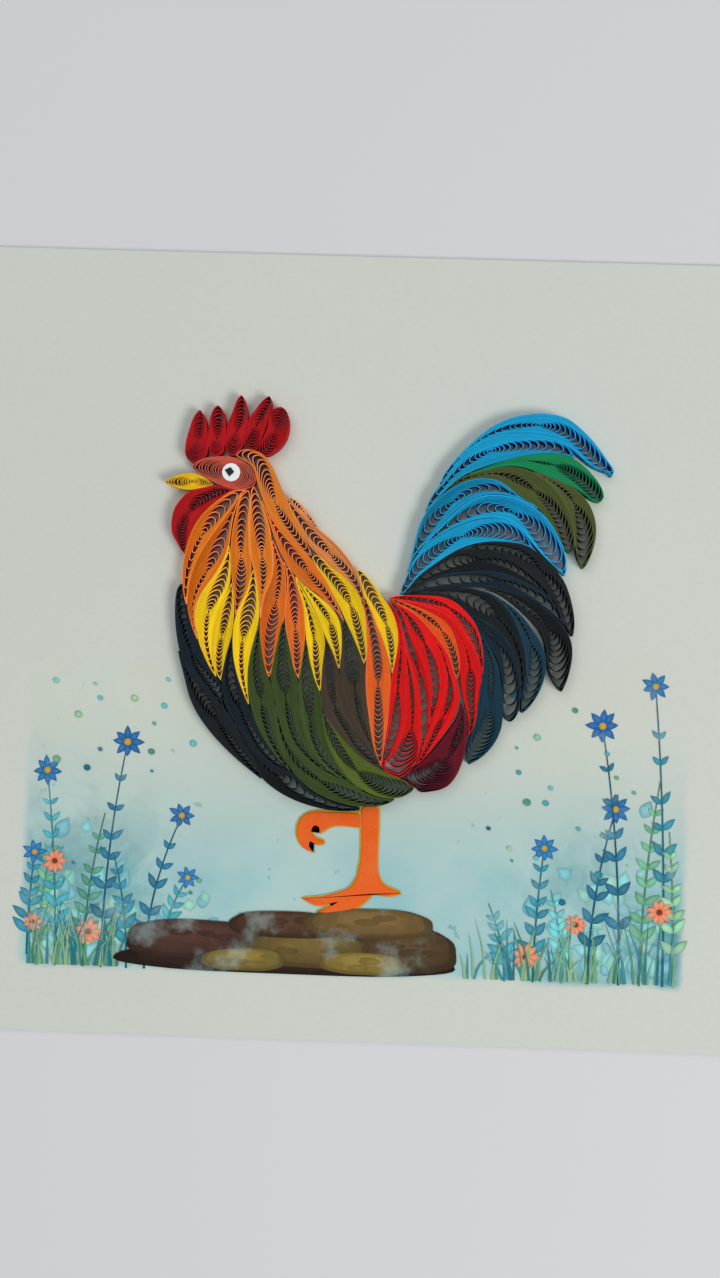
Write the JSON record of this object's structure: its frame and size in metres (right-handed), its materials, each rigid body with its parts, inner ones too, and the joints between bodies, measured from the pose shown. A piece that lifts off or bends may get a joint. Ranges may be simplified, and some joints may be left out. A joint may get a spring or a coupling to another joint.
{
  "type": "quilled paper art",
  "caption": "Folded square greeting card with a rooster made of rolled paper-strip coils glued on edge, with cut card legs and a soft painted ground.",
  "frame": {"origin": "middle of the card's back face, on the surface that the closed card lies on", "axes": "+Z out of the front face, +Y towards the top of the picture, +X to the right; the fold is along the -X edge"},
  "size_m": [0.1524, 0.1524, 0.0046],
  "materials": {
    "card_stock": "matte card with a soft painted wash printed on the front",
    "comb_red": "matte paper strip",
    "saddle_red": "matte paper strip",
    "face_salmon": "matte paper strip",
    "beak_yellow": "matte paper strip",
    "hackle_orange": "matte paper strip",
    "cape_yellow": "matte paper strip",
    "rust_orange": "matte paper strip",
    "olive_green": "matte paper strip",
    "dark_brown": "matte paper strip",
    "navy": "matte paper strip",
    "orange_red": "matte paper strip",
    "maroon": "matte paper strip",
    "sky_blue": "matte paper strip",
    "green": "matte paper strip",
    "tail_olive": "matte paper strip",
    "black": "matte paper strip",
    "eye_white": "matte paper",
    "eye_black": "matte paper",
    "leg_orange": "matte coloured card"
  },
  "bodies": {
    "root": {"folded_card": "card_stock", "comb": "comb_red", "face": "face_salmon", "beak": "beak_yellow", "wattle": "comb_red", "hackle_1": "hackle_orange", "hackle_2": "hackle_orange", "hackle_3": "hackle_orange", "hackle_4": "hackle_orange", "hackle_5": "hackle_orange", "hackle_6": "hackle_orange", "hackle_7": "hackle_orange", "hackle_crest": "hackle_orange", "hackle_back": "hackle_orange", "cape_1": "cape_yellow", "cape_2": "cape_yellow", "cape_3": "cape_yellow", "cape_4": "cape_yellow", "cape_5": "cape_yellow", "cape_6": "cape_yellow", "rust_feather": "rust_orange", "breast_olive_1": "olive_green", "breast_olive_2": "olive_green", "breast_olive_3": "olive_green", "breast_olive_4": "olive_green", "breast_olive_5": "olive_green", "breast_brown_1": "dark_brown", "breast_brown_2": "dark_brown", "breast_dark_1": "navy", "breast_dark_2": "navy", "breast_dark_3": "navy", "breast_dark_4": "navy", "saddle_1": "saddle_red", "saddle_2": "saddle_red", "saddle_3": "orange_red", "saddle_4": "saddle_red", "saddle_5": "saddle_red", "saddle_6": "saddle_red", "saddle_7": "saddle_red", "saddle_8": "saddle_red", "thigh": "maroon", "tail_blue_1": "sky_blue", "tail_blue_2": "sky_blue", "tail_green": "green", "tail_olive": "tail_olive", "tail_blue_3": "sky_blue", "tail_blue_4": "sky_blue", "tail_blue_5": "sky_blue", "tail_black_1": "black", "tail_black_2": "black", "tail_black_3": "black", "tail_black_4": "black", "tail_black_5": "black", "tail_black_6": "black", "tail_black_7": "black", "tail_black_8": "black", "eye_white": "eye_white", "eye_pupil": "eye_black", "leg_standing": "leg_orange", "leg_raised": "leg_orange"}
  },
  "joints": []
}
